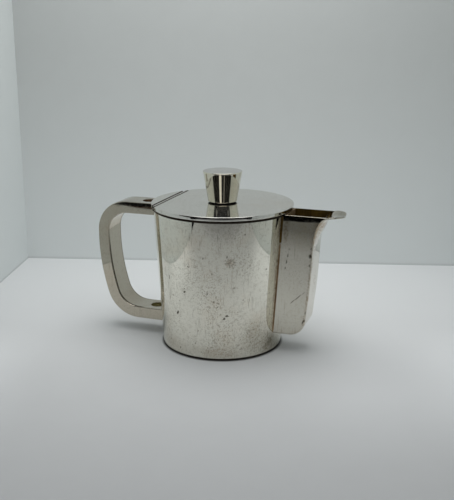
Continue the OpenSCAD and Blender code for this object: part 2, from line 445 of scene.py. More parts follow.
def inside(co, at, size, rot, core):
    """How far inside a turned ellipsoid co is, from 0 outside it to 1 within its core."""
    v = Vector((co[0] - at[0], co[1] - at[1], co[2] - at[2]))
    if v.length > max(size) * 1.2:
        return 0.0
    if any(rot):
        v = Euler([radians(c) for c in rot]).to_matrix().transposed() @ v
    d = sqrt((v.x / size[0]) ** 2 + (v.y / size[1]) ** 2 + (v.z / size[2]) ** 2)
    return smooth01((1.1 - d) / (1.1 - core))


def spread_marks(ob, stains=(), clusters=(), nicks=()):
    """Writes where the stains, pitted patches and nicks are, as smooth values on the mesh."""
    me = ob.data
    n = len(me.vertices)
    stain, pitting, nick, colour = [0.0] * n, [0.0] * n, [0.0] * n, [0.0] * (4 * n)
    for i, vertex in enumerate(me.vertices):
        co = vertex.co / MM
        total, rgb = 0.0, [0.0, 0.0, 0.0]
        for at, size, tilt, strength, tone in stains:
            f = inside(co, at, size, (0, tilt, 0), 0) * strength
            if f > 0:
                total += f
                rgb = [a + f * b for a, b in zip(rgb, tone)]
        if total > 0:
            colour[4 * i:4 * i + 4] = [a / total for a in rgb] + [1.0]
        stain[i] = min(total, STAIN_MOST)
        pitting[i] = max([inside(co, at, size, (0, 0, 0), 0.1) for at, size in clusters] + [0.0])
        nick[i] = max([inside(co, at, size, rot, 0.7) * k for at, size, rot, k in nicks] + [0.0])
    for name, data in (("stain", stain), ("pitting", pitting), ("nick", nick)):
        me.attributes.new(name, "FLOAT", "POINT").data.foreach_set("value", data)
    me.attributes.new("stain_colour", "FLOAT_COLOR", "POINT").data.foreach_set("color", colour)


def nicks_from(rows, turn=0, strength=1):
    """Nicks from rows of place, half sizes and tilt in degrees."""
    return [(at, [NICK_GROWTH * c for c in size], (0, tilt, turn), strength) for at, size, tilt in rows]


BODY_MARKS = nicks_from((
    ((-21.8, -34.4, 49.1), (0.3, 0.4, 1.5), -12), ((-10.1, -39.1, 44.2), (0.32, 0.3, 0.35), 0),
    ((-10.2, -39, 42.1), (0.5, 0.4, 0.5), 0), ((-13.9, -37.4, 35.5), (0.34, 0.3, 0.34), 0),
    ((-18.7, -35.5, 38.1), (0.32, 0.3, 0.34), 0), ((-15.7, -36.2, 27.6), (0.62, 0.8, 1.5), 32),
    ((8.5, -39.1, 37.8), (0.55, 0.4, 0.35), 0), ((15.8, -36.2, 29), (0.95, 0.6, 0.55), 0),
    ((14.2, -36.8, 27.2), (0.7, 0.5, 0.55), -20), ((2.7, -41.6, 64.7), (0.45, 0.4, 0.42), 0),
    ((-6.6, -40.7, 58.3), (0.36, 0.3, 0.36), 0), ((-4.5, -41.4, 64.8), (0.3, 0.3, 0.3), 0),
    ((16.5, -38.3, 66), (0.5, 0.4, 0.4), 0), ((20, -35.3, 46.8), (0.3, 0.3, 0.5), 0),
    ((4.7, -40.1, 42.8), (0.25, 0.3, 0.8), 0), ((35.3, -21.2, 55.8), (0.4, 0.4, 0.4), 0),
    ((25.8, -33.8, 79.4), (0.55, 0.4, 0.35), 0), ((-27.1, -29.3, 35.1), (0.3, 0.3, 0.3), 0),
    ((-22.5, -31, 8), (0.4, 0.4, 0.45), 0), ((-14.6, -35.2, 4.6), (0.38, 0.4, 0.38), 0),
    ((-3.4, -38.2, 10.1), (0.5, 0.4, 0.32), 0), ((22.4, -30.9, 7), (0.32, 0.3, 0.32), 0),
    ((9.9, -39, 41.2), (0.3, 0.3, 0.3), 0), ((-1.6, -38.9, 18.3), (0.3, 0.3, 0.3), 0),
    ((24.3, -31.9, 38.8), (0.28, 0.3, 0.28), 0),
))
# scratches that spread like a star from one spot: place, half length and direction
STAR = (
    ((20.1, -36.3, 62.6), 1.87, 10), ((19.6, -36.6, 64.1), 2.09, 48),
    ((18.4, -37.1, 64.3), 1.65, 80), ((17.1, -37.8, 64.3), 1.98, 118),
    ((16, -38.3, 63.6), 2.31, 150), ((16.1, -38.3, 62), 1.76, 185),
    ((16.8, -38, 60.9), 1.54, 222), ((17.7, -37.5, 59.3), 2.53, 262),
    ((19.1, -36.8, 60.3), 1.76, 300), ((20.2, -36.3, 61.1), 2.15, 335),
)
STAR_ROWS = [(at, (length, 0.9, 0.14), -way) for at, length, way in STAR]
BODY_MARKS += nicks_from(STAR_ROWS, turn=24, strength=0.55)
SPOUT_MARKS = nicks_from((
    ((57.4, -10.9, 26.9), (0.7, 1, 0.5), 20), ((56.3, -10.9, 21.9), (0.9, 1, 0.4), -30),
    ((59.2, -10.9, 63.4), (0.85, 1.2, 1.1), 0), ((52, -10.9, 36.5), (0.16, 1, 5.6), 47),
    ((56.6, -10.9, 52), (0.16, 1, 6), 3), ((45, -10.9, 60), (0.12, 1, 7), 10),
    ((58.9, -10.5, 57.5), (0.35, 1, 0.9), 0), ((59.6, -10.5, 68), (0.3, 1, 0.5), 0),
    ((50, -10.9, 16), (1.2, 1, 0.2), -10),
))
# pitted patches: place and half sizes
BODY_CLUSTERS = (
    ((-7.6, -40.8, 59), (3.5, 3, 6.5)), ((-10.4, -39, 42.6), (3, 3, 4)),
    ((5.6, -40.7, 54.8), (5, 3, 4)), ((3.4, -40.1, 41.5), (4.5, 3, 5)),
    ((-7, -38, 12), (9, 5, 7)), ((9.3, -39, 36), (6, 3, 7)),
    ((18.1, -37.3, 61.5), (4.5, 3, 4.5)), ((-20, -33, 36), (3, 4, 7)),
    ((14, -36.5, 16), (10, 4, 8)),
)
SPOUT_CLUSTERS = (
    ((57, -10.7, 22), (2.2, 1.6, 5)), ((58.2, -10.9, 36), (1.3, 1.3, 10)),
    ((59.2, -10.9, 48), (1.5, 1.3, 9)), ((60.2, -9.2, 58), (2.4, 4.5, 8)),
    ((61, -7, 69), (3.4, 10, 8)), ((62.4, -6, 77), (4.5, 13, 7)),
    ((65, -5, 81.5), (5.5, 14, 4.2)), ((69, -6, 84), (5.5, 11, 1.7)),
    ((60.2, 10.6, 62), (1.6, 1.6, 22)), ((62, 10, 77), (2.7, 3, 6.5)),
    ((60, 2, 40), (2, 6, 14)),
)
# stains: place, half sizes, tilt in degrees, strength and colour
BROWN, TAN, OLIVE = (0.34, 0.23, 0.14), (0.6, 0.48, 0.36), (0.27, 0.235, 0.165)
COPPER, BUFF = (0.36, 0.27, 0.19), (0.45, 0.38, 0.3)
BODY_STAINS = (
    ((18.1, -37.3, 62.2), (4.6, 3.5, 4), 0, 0.55, (0.47, 0.39, 0.27)),
    ((19, -36.4, 54.5), (0.6, 1.5, 8.5), 3, 0.55, (0.4, 0.34, 0.27)),
    ((35.4, -15, 6.5), (9, 10, 10), 0, 0.85, OLIVE),
    ((29, -25.5, 15), (9.5, 9.5, 14), 0, 0.48, OLIVE),
    ((41, -12.3, 80), (1.5, 1.5, 12), 3, 0.55, (0.12, 0.085, 0.05)),
    ((39, -12.3, 50), (8, 2, 48), 0, 0.8, BROWN),
    ((39, 12.3, 50), (8, 2, 48), 0, 0.8, BROWN),
    ((8.7, -39.1, 37.4), (1.2, 1.2, 1), 0, 0.6, TAN),
    ((28.5, -26.9, 23), (1, 1, 0.6), 0, 0.8, BROWN),
    ((-20, -32, 6), (22, 10, 7), 0, 0.35, BROWN),
    ((12, -36, 5), (24, 8, 6), 0, 0.4, BROWN),
    ((0, 0, 0), (40.5, 40.5, 2.6), 0, 0.3, BROWN),
    ((30, 22, 24), (14, 14, 18), 0, 0.35, TAN),
    ((-26, 28, 40), (16, 14, 12), 0, 0.3, TAN),
    ((-41, 0, 50), (7, 11, 48), 0, 0.45, BROWN),
)
SPOUT_STAINS = (
    ((38.5, 0, 50), (2, 30, 46), 3.4, 0.85, BROWN),
    ((60.6, -11, 60), (1.7, 1.6, 30), 3, 0.45, COPPER),
    ((62.6, -10.8, 77), (2.4, 2.4, 9), 14, 0.75, COPPER),
    ((58, -10.2, 30), (2, 2.4, 16), 6, 0.45, BUFF),
    ((44, -10.9, 79), (2.4, 1.5, 12), 3, 0.65, (0.22, 0.16, 0.09)),
    ((53, -10.9, 80), (20, 1.5, 17), 0, 0.5, (0.56, 0.5, 0.33)),
    ((54, -10.9, 87.4), (22, 1.9, 1.1), 0, 1, (0.17, 0.14, 0.09)),
    ((60, 10.6, 52), (1.5, 1.3, 42), 1.5, 0.55, BUFF),
    ((50, 0, 12.5), (12, 13, 3.5), 0, 0.45, BROWN),
    ((64.8, 0, 83), (4.8, 26, 4.6), 0, 0.7, BROWN),
    ((73.5, 0, 87), (9, 24, 3.4), 0, 0.95, (0.3, 0.285, 0.235)),
    ((68, 0, 88), (3, 12, 3), 0, 0.8, BROWN),
)
BAR_STAINS = (
    ((-60, 0, 83), (18, 12, 3.6), 0, 0.45, BROWN),
    ((-78, -9, 60), (4, 1.5, 18), 0, 0.35, BROWN),
    ((-75.5, -9, 38), (2.6, 1.5, 9), -14, 0.55, (0.5, 0.36, 0.26)),
    ((-44, 0, 50), (5, 12, 46), 0, 0.5, BROWN),
)


# ---- body
def body_profile():
    """The outside from the foot up and the inside back down, as rows of (r, z)."""
    foot_er, rim_er, straight, steps = 1.1, 0.9, 86, 138
    outside = [(FOOT_R - 1.2, 0)] + arc(cone_r(foot_er) - foot_er, foot_er, foot_er, -90, 0, 8)
    zs = [1.2 + (straight - 1.2) * k / steps for k in range(steps + 1)]
    for exact in (WINDOW_LOW, WINDOW_MID, WINDOW_TOP):
        zs[min(range(len(zs)), key=lambda k: abs(zs[k] - exact))] = exact
    rim = RIM_Z - rim_er
    outside += [(cone_r(z), z) for z in zs + [rim - 0.3]]
    outside += bend(cone_r(rim) - rim_er, rim, rim_er, (0, 20, 40, 60, 75, 90))
    back = [(cone_r(z) - WALL, z) for z in (RIM_Z, WINDOW_TOP, WINDOW_MID, WINDOW_LOW, 0)]
    return outside, back


def window_faces(outside, n, w):
    """The faces round the spout's window, which is w columns wide each side."""
    first, last = [next(j for j, q in enumerate(outside) if q[1] == z) for z in (WINDOW_LOW, WINDOW_TOP)]
    in_top, in_mid, in_low = [(len(outside) + q) * n for q in (1, 2, 3)]
    faces = []
    for i in range(-w, w):
        a, b = i % n, (i + 1) % n
        faces.append([first * n + a, first * n + b, in_low + b, in_low + a])
        faces.append([last * n + a, last * n + b, in_top + b, in_top + a])
    for i in (w, n - w):
        column = [j * n + i for j in range(first, last + 1)]
        faces.append(column + [in_top + i, in_mid + i, in_low + i])
    return faces


def build_body():
    n, w = 480, 15
    outside, back = body_profile()
    rows = outside + back
    m = len(rows)
    verts = [v for r, z in rows for v in circle(r, z, n)]
    faces, slots = [], []
    for f, quad in enumerate(bands(m, n, closed=True)):
        j, i = divmod(f, n)
        lo, hi = sorted((rows[j][1], rows[(j + 1) % m][1]))
        if (i < w or i >= n - w) and lo >= WINDOW_LOW - 0.1 and hi <= WINDOW_TOP + 0.1:
            continue
        faces.append(quad)
        inner = j >= len(outside) - 1 and lo < RIM_Z - 0.1
        # slot 2 is painted shade: a dark band under the lid's overhang and on the foot's rounding
        slots.append(1 if inner else 2 if lo > RIM_Z - 1.5 or hi < 1.02 else 0)
    window = window_faces(outside, n, w)
    ob = to_mesh("body_wall_skin", verts, faces + window, [M_BODY, M_INSIDE, M_SHADE_AND_GRIME],
                 slots=slots + [1] * len(window))
    spread_marks(ob, BODY_STAINS, BODY_CLUSTERS, BODY_MARKS)
    return ob


def build_base():
    inner_r = FOOT_R - WALL
    profile = [(0, 0.25), (30, 0.25), (34.5, 0.02), (35.5, 0), (inner_r, 0)]
    profile += [(inner_r + SLOPE * BASE_T, BASE_T), (0, BASE_T)]
    ob = lathe("base_disc", profile, [M_SPOUT, M_INSIDE], n=192)
    paint(ob, lambda c, normal: 1 if c.z > 0.8 else None)
    return ob


def build_mouth_ring():
    low, bore = RIM_Z - 5.4, 41.0
    profile = [(bore, low + 0.2), (bore + 0.15, low), (cone_r(low) - WALL, low), (RIM_R - WALL, RIM_Z)]
    profile += [(bore + 0.3, RIM_Z), (bore + 0.08, RIM_Z - 0.1), (bore, RIM_Z - 0.35)]
    return lathe("mouth_ring_turned", profile, [M_INSIDE])


place(build_body(), "body_wall")
place(build_base(), "base_plate")
place(build_mouth_ring(), "mouth_ring", slot="plate_inside")


# ---- lid, deck and hinge
POCKET_R, POCKET_X = 40.5, -30.0  # the thinned underside of the lid


def straight_cutter(side, edge_x, soft=0.5, low=70, high=95, far=80):
    """What lies past the straight edge at edge_x, with the edge's softening."""
    outline = [(edge_x, low), (edge_x, LID_Z - soft)]
    outline += [(edge_x + side * d, z) for d, z in bend(soft, LID_Z - soft, soft, (160, 140, 120, 100))]
    outline += [(edge_x + side * soft * 0.95, high), (-side * far, high), (-side * far, low)]
    near, away = [[(x, y, z) for x, z in outline] for y in (-60, 60)]
    return between("cutter", near, away, [M_SHADE_AND_GRIME])


def pocket_cutter():
    end = acos(POCKET_X / POCKET_R)
    turns = [end * (1 - i / 90) for i in range(181)]
    outline = [(POCKET_R * cos(a), POCKET_R * sin(a)) for a in turns]
    low, high = [[(x, y, z) for x, y in outline] for z in (80, LID_Z - LID_T)]
    return between("cutter", low, high, [M_INSIDE])


def plate_slots(side, edge_x, pocket):
    """Which faces of a plate are silver, inside or painted shade: the groove along the cut edge and the
    rim's underside are shaded dark.
    """
    def pick(c, normal):
        r = hypot(c.x, c.y)
        in_pocket = pocket and c.x > POCKET_X - 0.2 and c.z < LID_Z - 0.8
        if abs(c.x - edge_x) < 0.6 and abs(normal.x) > (0.25 if side > 0 else 0.55) and r < LID_R - 0.5:
            return 2
        if r < 40.4 and normal.z < -0.5 or r < 40.7 and abs(normal.z) < 0.3 and in_pocket:
            return 1
        return 2 if normal.z < -0.8 else 0
    return pick


def plate(name, z0, side, edge_x, pocket=False):
    """A turned plate with rounded rims, cut along a straight line at edge_x, its cut edge softened."""
    top_r, low_r, sharp = 0.3, 0.75, 30
    profile = [(0, z0), (30, z0), (LID_R - 1.3, z0), (LID_R - low_r - 0.1, z0)]
    profile += arc(LID_R - low_r, z0 + low_r, low_r, -90, 0, 6)
    profile += [(LID_R, LID_Z - top_r - 0.25)]
    profile += arc(LID_R - top_r, LID_Z - top_r, top_r, 0, 90, 6)
    profile += [(LID_R - 0.7, LID_Z), (LID_R - 4, LID_Z), (0, LID_Z)]
    ob = lathe(name, profile, [M_LID, M_INSIDE, M_SHADE_AND_GRIME], n=384, angle=sharp)
    cut_away(ob, straight_cutter(side, edge_x))
    if pocket:
        cut_away(ob, pocket_cutter())
    paint(ob, plate_slots(side, edge_x, pocket))
    ob.data.set_sharp_from_angle(angle=radians(sharp))
    return ob


def rod(y0, y1, r, chamfer=0.12, n=48):
    """A rod on the hinge line, its ends trimmed to the lid's outline."""
    verts = []
    spec = [(y0, r - chamfer), (y0 + chamfer, r), (y0 + 2 * chamfer, r)]
    spec += [(y1 - 2 * chamfer, r), (y1 - chamfer, r), (y1, r - chamfer)]
    for y, radius in spec:
        for dx, dz, _ in circle(radius, 0, n):
            x = dx - HINGE_X
            limit = sqrt(max(LID_R ** 2 - x * x, 0)) - 0.02
            verts.append((x, max(-limit, min(limit, y)), HINGE_Z + dz))
    return verts, bands(len(spec), n) + caps(len(spec), n)


def knuckles(name, spans, side, leaf_y=24.5):
    """Rods on the hinge line, each with a leaf to the plate on its side."""
    leaf = sorted((-HINGE_X + side * 0.8, -HINGE_X + side * EDGE))
    parts = []
    for y0, y1 in spans:
        ends = (max(y0, -leaf_y) + 0.05, min(y1, leaf_y) - 0.05)
        parts += [rod(y0, y1, KNUCKLE_R), block(*leaf, *ends, HINGE_Z - 0.5, HINGE_Z + 0.5)]

    def pick(c, normal):
        # painted shade in the hinge grooves: the lower part of each rod and the rods' ends are dark
        top = 1.39 if c.x > -HINGE_X + 0.2 else 0.95
        in_painted_shade = c.z < HINGE_Z + top and abs(normal.y) < 0.9 or abs(c.y) > 24 and abs(normal.y) > 0.25
        return 1 if in_painted_shade else None

    ob = joined(name, parts, [M_LID, M_SHADE_AND_GRIME])
    paint(ob, pick)
    return ob


def build_pin():
    """The hinge pin. Its ends stand just proud of the knuckles' ends."""
    ob = joined("hinge_pin_rod", [rod(-40, 40, 0.6, chamfer=0.05)], [M_PIN])
    ob.data.transform(Matrix.Diagonal((1, 1.0005, 1, 1)))
    return ob


DECK_SPANS, LID_SPANS = [(-30, -16), (-5.4, 5.4), (16, 30)], [(-15.9, -5.5), (5.5, 15.9)]
place(plate("hinge_deck_plate", RIM_Z, -1, -HINGE_X - EDGE), "hinge_deck")
place(plate("lid_plate_turned", RIM_Z + LID_GAP, 1, -HINGE_X + EDGE, pocket=True), "lid_plate", body="lid")
place(knuckles("deck_knuckle_set", DECK_SPANS, -1), "deck_knuckles")
place(knuckles("lid_knuckle_set", LID_SPANS, 1), "lid_knuckles", body="lid")
place(build_pin(), "hinge_pin", slot="pin_metal")


# ---- knob, bezel and washer
UNDER = LID_Z - LID_T


def build_knob():
    neck_z, neck_r, foot_r, foot_er, top_r, top_z, top_er = LID_Z + 0.85, 8, 9.05, 0.23, 12.15, 109.42, 0.25
    start = neck_z + foot_er
    flare = (top_r - 0.02 - foot_r) / (109.2 - start)
    profile = [(0, LID_Z), (neck_r, LID_Z), (neck_r, neck_z), (8.5, neck_z)]
    profile += arc(foot_r - foot_er, start, foot_er, -90, 0, 5)
    profile += [(foot_r + flare * q, start + q) for q in (0.5, 6, 12, 17.6)]
    profile += arc(top_r - top_er, top_z - top_er, top_er, 5, 88, 5)
    profile += [(11.5, 109.43), (10.5, 109.45), (5, 109.49), (0, 109.5)]
    ob = lathe("knob_turned", profile, [M_KNOB, M_NECK_SHADE, M_KNOB_TOP], n=192, angle=40)
    # the neck and the knob's underside get painted shade, the flat top its own silver
    paint(ob, lambda c, normal: 1 if c.z < neck_z + 0.06 else 2 if c.z > 109.4 else None)
    return ob


def build_bezel(r0=39.8, r1=40.6, depth=6.2, chamfer=0.1, n=288):
    """The ring under the lid, left out behind the lid's pocket."""
    end = acos(POCKET_X / r1)
    z0 = UNDER - depth
    profile = [(r0, z0 + chamfer), (r0 + chamfer, z0), (r1 - chamfer, z0), (r1, z0 + chamfer)]
    profile += [(r1, UNDER), (r0, UNDER)]
    turns = [-end + 2 * end * i / n for i in range(n + 1)]
    verts = [(r * cos(a), r * sin(a), z) for a in turns for r, z in profile]
    m = len(profile)
    return to_mesh("lid_bezel_ring", verts, bands(n + 1, m) + caps(n + 1, m), [M_INSIDE])


def build_washer():
    r, bore, t, chamfer = 6, 1.5, 0.8, 0.15
    low = UNDER - t
    profile = [(bore, low), (r - chamfer, low), (r, low + chamfer), (r, UNDER), (bore, UNDER)]
    return lathe("knob_washer_turned", profile, [M_PIN], n=96)


place(build_knob(), "knob", body="lid")
place(build_bezel(), "lid_bezel", body="lid", slot="plate_inside")
place(build_washer(), "knob_washer", body="lid", slot="pin_metal")
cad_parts["knob_screw"].material_slots[0].material = M_PIN
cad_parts["strainer_plate"].material_slots[0].material = M_SEAM


# ---- handle
VENT_R = 4.5


def section(d0, d1, y0, y1, rad, seg=5, support=0.25):
    """Closed rectangle in depth and y. rad gives the corner radii at (d0,y0) (d1,y0) (d1,y1) (d0,y1)."""
    corners = [(d0, y0, 180, rad[0]), (d1, y0, 270, rad[1]), (d1, y1, 0, rad[2]), (d0, y1, 90, rad[3])]
    out = []
    for d, y, start, r in corners:
        centre = (d + (r if d == d0 else -r), y + (r if y == y0 else -r))
        points = arc(*centre, r, start, start + 90, seg)
        s = min(support, r)
        out += bend(*points[0], s, [start - 90]) + points + bend(*points[-1], s, [start + 180])
    return out


def bar_stations():
    """The handle's outer line: places (x, z) with the normals that point into the loop."""
    grip_x, grip_z = GRIP_R - BAR_X, BAR_Z - BEND_TOP - 3.2
    reach = GRIP_R - BEND_FOOT
    lean = degrees(asin((grip_z - BAR_FOOT - BEND_FOOT) / reach))
    foot_x, foot_z = grip_x - reach * cos(radians(lean)), BAR_FOOT + BEND_FOOT
    out = [((x, BAR_Z), (0, -1)) for x in (-41.8, -43.5, -47, -55, -60)]
    for cx, cz, r, angles in (
        (BEND_TOP - BAR_X, BAR_Z - BEND_TOP, BEND_TOP, range(90, 181, 3)),
        (grip_x, grip_z, GRIP_R, [180 + lean * i / 18 for i in range(19)]),
        (foot_x, foot_z, BEND_FOOT, [180 + lean + (90 - lean) * i / 26 for i in range(1, 27)]),
    ):
        for nx, nz in bend(0, 0, -1, angles):
            out.append(((cx - r * nx, cz - r * nz), (nx, nz)))
    return out + [((x, BAR_FOOT), (0, 1)) for x in (-52, -46, -41, -38)]


STATIONS = bar_stations()


def sweep(name, sec, mats):
    """Draws a section along the handle's line. The ends follow the body's wall."""
    verts = []
    last = len(STATIONS) - 1
    for s, (p, normal) in enumerate(STATIONS):
        for d, y in sec:
            x, z = p[0] + d * normal[0], p[1] + d * normal[1]
            verts.append((-wall_x(y, z, SINK) if s in (0, last) else x, y, z))
    m = len(sec)
    return to_mesh(name, verts, bands(last + 1, m) + caps(last + 1, m), mats, angle=40)


def drill(ob, x, z, r, dirt, depth=3, lip=0.08, n=48):
    """A round hole with a softened edge, from above. The hole's wall gets the material passed as dirt, the
    hole's painted shade.
    """
    profile = [(0, z - depth), (r, z - depth), (r, z - lip)] + bend(r + lip, z - lip, lip, (150, 120, 90))
    cutter = lathe("cutter", profile + [(r + lip, z + 3), (0, z + 3)], [ob.data.materials[0]], n=n)
    shift(cutter, x)
    cut_away(ob, cutter)
    ob.data.set_sharp_from_angle(angle=radians(40))
    ob.data.materials.append(dirt)
    paint(ob, lambda c, normal: 2 if hypot(c.x - x, c.y) < r + 0.03 and abs(normal.z) < 0.5 else None)


def build_cheek(s, nm):
    """A side of the handle, rounded along its outer edges only."""
    soft, crisp = 0.42, 0.04
    radii = (soft, soft, crisp, crisp) if s < 0 else (crisp, crisp, soft, soft)
    outline = section(0, BAR, *sorted((s * HALF_BAR, s * HALF_GAP)), radii)
    ob = sweep("handle_cheek_%s_sheet" % nm, outline, [M_BAR, M_HOLLOW])
    paint(ob, lambda c, normal: 1 if abs(c.y) < HALF_GAP + 0.01 and abs(normal.y) > 0.9 else None)
    spread_marks(ob, BAR_STAINS)
    return ob


def build_strip(nm, d0, d1, vent_x, vent_z):
    """The strip between the cheeks on the outer or the inner side of the loop, with its vent hole."""
    outline = section(d0, d1, -HALF_GAP, HALF_GAP, (0.04,) * 4)
    ob = sweep("handle_%s_strip_sheet" % nm, outline, [M_BAR, M_HOLLOW])

    def pick(c, normal):
        p, n = min(STATIONS, key=lambda q: (q[0][0] - c.x) ** 2 + (q[0][1] - c.z) ** 2)
        d = (c.x - p[0]) * n[0] + (c.z - p[1]) * n[1]
        return 1 if (d > BAR_T - 0.05 if nm == "outer" else d < BAR - BAR_T + 0.05) else None

    paint(ob, pick)
    drill(ob, vent_x, vent_z, VENT_R, M_VENT_SHADE[nm])
    spread_marks(ob, BAR_STAINS)
    return ob


def build_vent_painted_shade(nm, vent_x, vent_z):
    # a disc down in the vent hole, painted with the hole's shade
    r = VENT_R - 0.02
    profile = [(0, -1.4), (r, -1.4), (r, -0.6), (3.4, -0.95), (0, -1)]
    ob = lathe("vent_painted_shade_%s" % nm, profile, [M_VENT_SHADE[nm]], n=48)
    shift(ob, vent_x, vent_z)
    return ob


for s, nm in SIDES:
    place(build_cheek(s, nm), "handle_cheek_%s" % nm)
for nm, d0, d1, vent in (
    ("outer", 0, BAR_T, (-49.5, BAR_Z)),
    ("inner", BAR - BAR_T, BAR, (-45.2, BAR_FOOT + BAR)),
):
    strip = build_strip(nm, d0, d1, *vent)
    place(build_vent_painted_shade(nm, *vent), slot="plate_inside")
    place(strip, "handle_%s_strip" % nm)


# ---- spout
LIP_LOW = 80.0  # the spout's lip lies above this height
ACROSS = 20
NOSE = [(57.85, 29), (58.62, 35.6), (59.25, 42.2), (59.7, 48.8), (60, 55.3), (60.25, 61.8), (60.6, 68),
        (61.2, 73.5), (62.2, 78.2), (63.6, 81.8), (65.3, 84.2), (67.4, 85.8), (70, 86.6), (73, 86.8),
        (78, 86.8)]


def catmull(p, n):
    """A smooth curve through the points p, with n steps between neighbours."""
    def between_points(a, b, c, d, t):
        square, cube = 2 * a - 5 * b + 4 * c - d, 3 * b - a - 3 * c + d
        return 0.5 * (2 * b + (c - a) * t + square * t * t + cube * t ** 3)

    out = []
    for i in range(len(p) - 1):
        four = p[max(i - 1, 0)], p[i], p[i + 1], p[min(i + 2, len(p) - 1)]
        out += [tuple(between_points(*axis, k / n) for axis in zip(*four)) for k in range(n)]
    return out + [p[-1]]


def spout_path():
    """The front strip's outer line as (x, z), from the body along the underside and up to the lip."""
    corner = arc(47.1, SPOUT_FOOT + 10, 10, -90, -6.5, 18)
    out = [(x, SPOUT_FOOT) for x in (38.2, 40, 44)] + corner[:-1]
    out += [q for q in catmull([corner[-1]] + NOSE, 5) if q[0] <= LIP_X - LIP_R or q[1] < LIP_LOW]
    lip_curve = catmull(NOSE[-4:], 40)
    for a in range(3, 91, 6):
        x = LIP_X - LIP_R + LIP_R * sin(radians(a))
        out.append((x, min(lip_curve, key=lambda c: abs(c[0] - x))[1]))
    return out


PATH = spout_path()


def path_normal(i):
    """The normal into the spout at point i of its path."""
    a, b = PATH[max(i - 1, 0)], PATH[min(i + 1, len(PATH) - 1)]
    t = Vector((b[0] - a[0], b[1] - a[1])).normalized()
    return -t[1], t[0]


def spout_width(x, z):
    """Half the strip's width, less where the lip is rounded."""
    if x <= LIP_X - LIP_R or z < LIP_LOW:
        return SPOUT_W / 2
    e = min(x - (LIP_X - LIP_R), LIP_R)
    return SPOUT_W / 2 - LIP_R + sqrt(max(LIP_R ** 2 - e * e, 0))


def strip_section(w, r_out, r_in):
    """The strip's outline as (depth, y): its outside, a rounded edge, its inside and the other edge."""
    half = bend(r_out, w - r_out, r_out, range(165, 89, -15))
    half += bend(SPOUT_T - r_in, w - r_in, r_in, (89.5, 60, 30, 0))
    sec = [(0, (w - r_out) * (2 * k / ACROSS - 1)) for k in range(ACROSS + 1)] + half
    sec += [(SPOUT_T, (w - r_in) * (1 - 2 * k / ACROSS)) for k in range(1, ACROSS)]
    return sec + [(d, -y) for d, y in reversed(half)]


def build_front_strip():
    """The spout's bent front strip, bowed outward under the lip."""
    verts = []
    edge, crisp, lip_edge = 0.85, 0.05, 0.42
    for i, (x, z) in enumerate(PATH):
        nx, nz = path_normal(i)
        w = spout_width(x, z)
        f = smooth01((x - 66) / 6) if z > LIP_LOW else 0.0
        bow = 2.5 * smooth01((z - 67) / 15) - 1.5 * smooth01((x - 62.5) / 6.5) if i > 3 else 0.0
        sec = strip_section(w, edge * (1 - f) + lip_edge * f, crisp * (1 - f) + lip_edge * f)
        for d, y in sec:
            px, pz = x + d * nx, z + d * nz
            dish = bow * (1 - min(1, abs(y) / max(w, 0.1)) ** 2)
            if i == 0:
                px = wall_x(y, pz, SINK)
            elif i < 3:
                px = max(px, wall_x(y, pz) - 0.4 + 0.2 * i)
            verts.append((min(px - dish * nx, LIP_X), y, pz - dish * nz))
    n, m = len(PATH), len(sec)
    deep = [sec[j][0] > SPOUT_T - 0.02 and sec[(j + 1) % m][0] > SPOUT_T - 0.02 for j in range(m)]
    slots = []
    for i, (x, z) in enumerate(PATH[:-1]):
        brown = i > 1 and (x < 66.3 or z < LIP_LOW)
        slots += [1 if brown and inner else 0 for inner in deep]
    ob = to_mesh("spout_front_strip", verts, bands(n, m) + caps(n, m), [M_SPOUT, M_BROWN], angle=40,
                 slots=slots + [0, 0])
    spread_marks(ob, SPOUT_STAINS, SPOUT_CLUSTERS, SPOUT_MARKS)
    return ob


def inner_line():
    """The front strip's inner line, where the side sheets meet it."""
    out = []
    for i, (x, z) in enumerate(PATH):
        nx, nz = path_normal(i)
        out.append((x + SPOUT_T * nx, z + SPOUT_T * nz))
    return [q for q in out if 44.0 < q[0] < 72]


INNER = inner_line()


def strip_x(z):
    """Where the side sheet meets the strip at height z."""
    for a, b in zip(INNER, INNER[1:]):
        if a[1] <= z <= b[1] and b[1] > a[1]:
            return a[0] + (b[0] - a[0]) * (z - a[1]) / (b[1] - a[1])
    return INNER[0][0] if z < 40 else INNER[-1][0]


def flat_cap(m, start=0):
    """The end of a flat loop of m points whose two long sides run up and back, as quads."""
    lo, hi, out = 0, m - 1, []
    while hi - lo > 2:
        out.append([start + q for q in (lo, lo + 1, hi - 1, hi)])
        lo, hi = lo + 1, hi - 1
    if hi - lo == 2:
        out.append([start + q for q in (lo, lo + 1, hi)])
    return out


def side_section(yo, yi):
    """A side sheet's outline as (y, z), denser towards the foot."""
    low, r_out, r_in, dense, straight, steps = SPOUT_FOOT + SPOUT_T, 0.22, 0.15, 8.5, 86, 110
    zs = [low + q for q in (0, 0.03, 0.1, 0.25, 0.5, 0.9, 1.5, 2.3, 3.4, 4.8, 6.5, dense)]
    zs += [low + dense + (straight - low - dense) * k / steps for k in range(1, steps + 1)]
    zs += [86.5, SPOUT_Z - r_out]
    sec = [(yo, z) for z in zs]
    sec += bend(yo - r_out, SPOUT_Z - r_out, r_out, (22.5, 45, 67.5, 90))
    sec += bend(yi + r_in, SPOUT_Z - r_in, r_in, (90, 135, 180))
    return sec + [(yi, z) for z in reversed(zs)]


